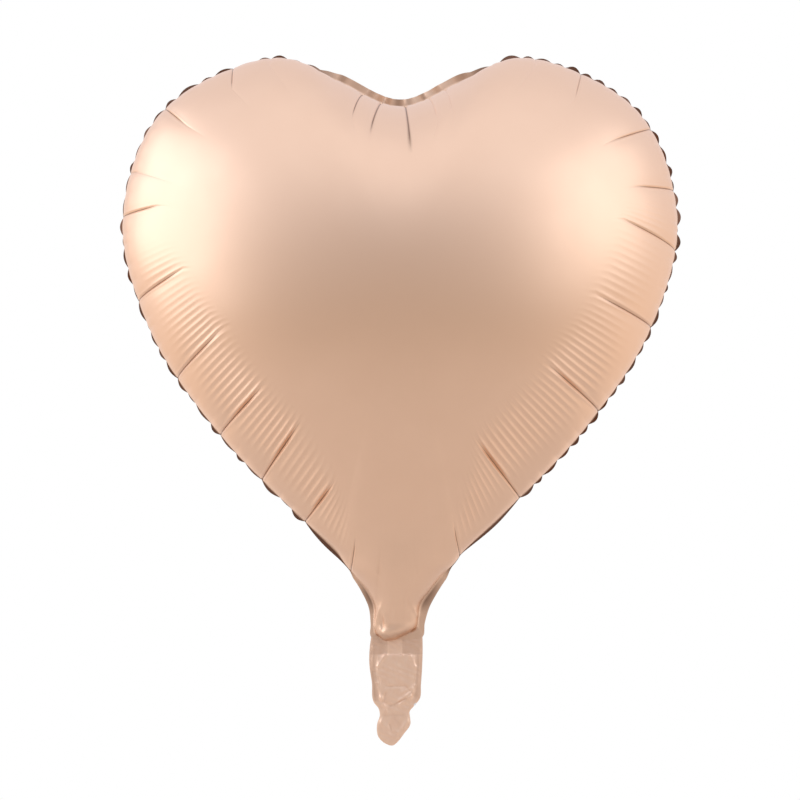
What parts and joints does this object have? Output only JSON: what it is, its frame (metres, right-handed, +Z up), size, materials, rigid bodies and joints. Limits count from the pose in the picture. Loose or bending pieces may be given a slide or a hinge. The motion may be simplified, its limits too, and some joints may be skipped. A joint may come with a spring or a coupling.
{
  "type": "heart foil balloon",
  "caption": "Heart-shaped foil balloon, filled, with welded front and back panels, a flat filling tail that folds at the neck, and a flat self-sealing valve sleeve inside.",
  "frame": {"origin": "middle of the fold between the filled neck and the flat tail, in the weld plane", "axes": "+Z up from the neck to the lobes, +Y from the front panel to the back panel through the weld plane, +X to the right seen from the front"},
  "size_m": [0.355, 0.1884, 0.4357],
  "materials": {
    "foil": "satin tinted lacquer over metallised film",
    "tail_foil": "satin tinted metallised film, crumpled",
    "valve_film": "clear film",
    "release_print": "printed matt coating"
  },
  "bodies": {
    "heart": {"front_panel": "foil", "back_panel": "foil", "valve_front_film": "valve_film", "valve_back_film": "valve_film", "valve_release_coating": "release_print"},
    "tail": {"tail_front": "tail_foil", "tail_back": "tail_foil", "valve_front_inlet": "valve_film", "valve_back_inlet": "valve_film"},
    "tab": {"tab_front": "tail_foil", "tab_back": "tail_foil"}
  },
  "joints": [
    {"name": "tail_fold", "type": "hinge", "parent": "heart", "child": "tail", "pos_m": [0, 0, 0], "axis": [1, 0, 0], "range_deg": [-80, 80]},
    {"name": "tab_fold", "type": "hinge", "parent": "tail", "child": "tab", "pos_m": [0, 0, -0.047], "axis": [1, 0, 0], "range_deg": [-110, 110]}
  ]
}
